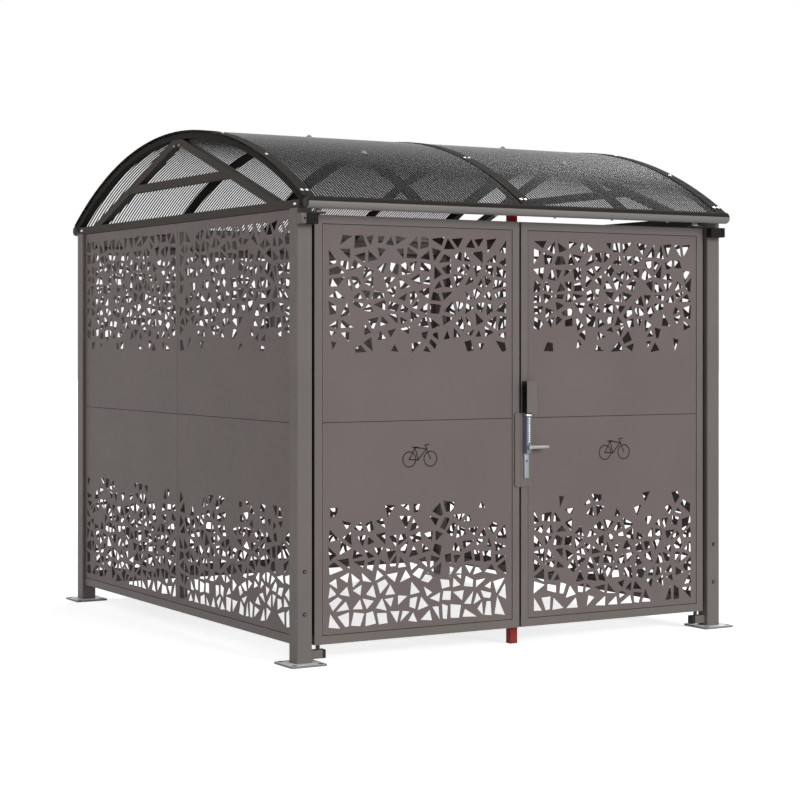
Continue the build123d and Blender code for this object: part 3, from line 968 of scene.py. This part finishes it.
def make_rear_strip():
    """A folded strip that closes the rear wall up to the eave."""
    low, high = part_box("rear_wall_frame")
    mesh = bmesh.new()
    left = low.x + rear_strip_inset
    right = high.x - rear_strip_inset
    back = high.y - rear_strip_inset
    top = high.z + rear_strip_rise
    add_box(mesh, (left, back - rear_strip_thickness, high.z), (right, back, top), rear_strip_edge)
    fold_low = (left, back - rear_strip_fold, top - rear_strip_thickness)
    add_box(mesh, fold_low, (right, back, top), rear_strip_edge)
    add_piece("rear_top_strip", mesh, "shelter", [frame_coat])


make_bolts()
make_hinge_metal()
make_buffers()
make_seals()
make_rear_strip()


# Lock


def is_front_upright(edge, middle):
    """Whether an edge stands upright in front of a middle plane."""
    start, end = [corner.co for corner in edge.verts]
    return max(start.y, end.y) < middle and abs(start.z - end.z) > lock_edge


def make_keypad():
    """Case with sloped front edges, a head in bright steel that paints a highlight along its top, and a column of
    buttons.
    """
    low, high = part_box("keypad_lock")
    mesh = bmesh.new()
    highlight_head_foot = high.z - highlight_head_height
    add_box(mesh, low, (high.x, high.y, highlight_head_foot - lock_seam))
    front_edges = [edge for edge in mesh.edges if is_front_upright(edge, (low.y + high.y) / 2)]
    round_edges(mesh, front_edges, lock_chamfer, lock_chamfer_segments)
    # The head in bright steel is a painted highlight on the case's top
    add_box(mesh, (low.x, low.y, highlight_head_foot), high, lock_edge, 1)
    middle = (low.x + high.x) / 2
    buttons_low = low.z + panel_bottom_margin
    row_step = (high.z - panel_top_margin - buttons_low) / button_rows
    for row in range(button_rows):
        height = buttons_low + (row + 1 / 2) * row_step
        button = Vector((middle, low.y, height))
        half_button = Vector((button_half_width, button_proud, button_half_height))
        add_box(mesh, button - half_button, button + half_button, button_edge, 1)
    add_piece("keypad_case", mesh, "right_door", [case_steel, bright_steel],
              ["keypad_lock"])


def make_lap_and_grip_shade():
    """The lock plate's lap over the gap between the leaves, and black sheets on the grip's inner faces as painted
    shade.
    """
    low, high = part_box("lock_plate")
    keeper_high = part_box("keeper_plate")[1]
    mesh = bmesh.new()
    add_box(mesh, (keeper_high.x + lap_gap, low.y, low.z), (low.x, low.y + lap_thickness, high.z),
            lap_gap / 2)
    # Black sheets inside the grip's channel, painted shade where the channel is in shadow
    low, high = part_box("pull_grip")
    inner_low = low + Vector((0, grip_sheet, grip_shade_thickness))
    inner_high = high - Vector((grip_sheet, grip_sheet, grip_shade_thickness))
    add_box(mesh, (inner_low.x, inner_high.y - grip_shade_thickness, inner_low.z), inner_high, 0, 1)
    add_box(mesh, (inner_high.x - grip_shade_thickness, inner_low.y, inner_low.z), inner_high, 0, 1)
    add_box(mesh, inner_low, (inner_high.x, inner_low.y + grip_shade_thickness, inner_high.z), 0, 1)
    add_piece("lock_lap_and_grip_shade", mesh, "right_door", [frame_coat, rubber])


def make_keyhole():
    """Long plate with a round keyhole in it."""
    low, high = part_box("keyhole_plate")
    mesh = bmesh.new()
    add_box(mesh, low, high, keyhole_edge)
    keyhole = Vector(((low.x + high.x) / 2, low.y, low.z + (high.z - low.z) * keyhole_rise_share))
    add_disc(mesh, facing(keyhole, (0, -1, 0)), keyhole_radius, keyhole_radius * keyhole_top_share,
             keyhole_height, keyhole_segments, 1)
    slot_half = Vector(keyhole_slot) / 2
    slot_middle = keyhole - Vector((0, keyhole_height, 0))
    add_box(mesh, slot_middle - slot_half, slot_middle + slot_half, 0, 2)
    add_piece("keyhole_face", mesh, "right_door", [plate_steel, case_steel, plastic],
              ["keyhole_plate"])


def make_lever():
    """Round hub with an oval arm that narrows to its end."""
    low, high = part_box("lever")
    pin = pins["lock_lever"]
    mesh = bmesh.new()
    hub = facing((pin.x, low.y + lever_hub_height, pin.z), (0, -1, 0))
    hub_top_radius = lever_hub_radius * lever_hub_top_share
    add_disc(mesh, hub, lever_hub_radius, hub_top_radius, lever_hub_height, lever_hub_segments)
    start = Vector((pin.x, low.y + lever_half_depth, pin.z))
    along = Matrix.Translation(start) @ Matrix.Rotation(math.radians(quarter_turn), 4, "Y")
    oval = Matrix.Diagonal((lever_half_height, lever_half_depth, 1, 1))
    ring = bmesh.ops.create_circle(mesh, cap_ends=True, segments=lever_segments, radius=1,
                                   matrix=along @ oval)["verts"]
    faces = list({face for corner in ring for face in corner.link_faces})
    reached_share = 0
    size_share = 1
    for reach_share, next_size_share in lever_shares:
        faces = bmesh.ops.extrude_discrete_faces(mesh, faces=faces)["faces"]
        corners = list({corner for face in faces for corner in face.verts})
        step = (reach_share - reached_share) * (high.x - pin.x)
        bmesh.ops.translate(mesh, verts=corners, vec=(step, 0, 0))
        slimmer_share = next_size_share / size_share
        bmesh.ops.scale(mesh, verts=corners, vec=(1, slimmer_share, slimmer_share),
                        space=Matrix.Translation(-start))
        reached_share = reach_share
        size_share = next_size_share
    bmesh.ops.recalc_face_normals(mesh, faces=mesh.faces)
    add_piece("lever_handle", mesh, "lock_lever", [lever_steel], ["lever"])


make_keypad()
make_lap_and_grip_shade()
make_keyhole()
make_lever()


# Finishes of the carried-over parts

for part in frame["record"]["subparts"]:
    node = frame["nodes"][part["node"]]
    finish = finish_of_slot[part["material_slot"]]
    if "_gable_" in part["node"]:
        finish = truss_coat
    if "_eave_tube" in part["node"]:
        finish = tube_coat
    node.data.materials.clear()
    node.data.materials.append(finish)


# Floor, light and camera


def seen_rays(tree):
    """Whether a ray is one that shows the background."""
    ray = tree.nodes.new("ShaderNodeLightPath")
    seen = ray.outputs[seen_kinds[0]]
    for kind in seen_kinds[1:]:
        seen = joined(tree, "MAXIMUM", seen, ray.outputs[kind])
    return seen


def add_floor():
    """A pale floor that glows where it is seen."""
    mesh = bmesh.new()
    bmesh.ops.create_grid(mesh, x_segments=1, y_segments=1, size=floor_half_side)
    finish, tree, shader, place = new_finish("floor_white", floor_roughness, 0, 0)
    shader.inputs["Base Color"].default_value = (floor_pale, floor_pale, floor_pale, 1)
    shader.inputs["Emission Color"].default_value = (1, 1, 1, 1)
    seen = seen_rays(tree)
    tree.links.new(spread(tree, seen, 0, floor_glow, (0, 1)), shader.inputs["Emission Strength"])
    new_object("floor", mesh, [finish])


def add_light():
    """An even white sky, a soft sun from the front right, a fill from the left and a rim from behind."""
    scene = bpy.context.scene
    scene.world = bpy.data.worlds.new("white_room")
    scene.world.use_nodes = True
    tree = scene.world.node_tree
    background = tree.nodes["Background"]
    background.inputs["Color"].default_value = (1, 1, 1, 1)
    seen = seen_rays(tree)
    tree.links.new(spread(tree, seen, sky_level, 1, (0, 1)), background.inputs["Strength"])
    for name, (energy, width, tilt, turn) in suns.items():
        lamp = bpy.data.lights.new(name, "SUN")
        lamp.energy = energy
        lamp.angle = math.radians(width)
        sun = bpy.data.objects.new(name, lamp)
        sun.rotation_euler = (math.radians(tilt), 0, math.radians(turn))
        scene.collection.objects.link(sun)


def add_camera():
    """A level camera to the left of the doors, shifted to keep the uprights upright."""
    scene = bpy.context.scene
    data = bpy.data.cameras.new("camera")
    data.lens = camera_lens
    data.sensor_width = camera_sensor
    data.shift_y = camera_shift
    data.clip_end = camera_reach
    camera = bpy.data.objects.new("camera", data)
    camera.location = camera_place
    camera.rotation_euler = (math.radians(quarter_turn), 0, math.radians(camera_turn))
    scene.collection.objects.link(camera)
    scene.camera = camera
    scene.view_settings.view_transform = "Standard"


add_floor()
add_light()
add_camera()
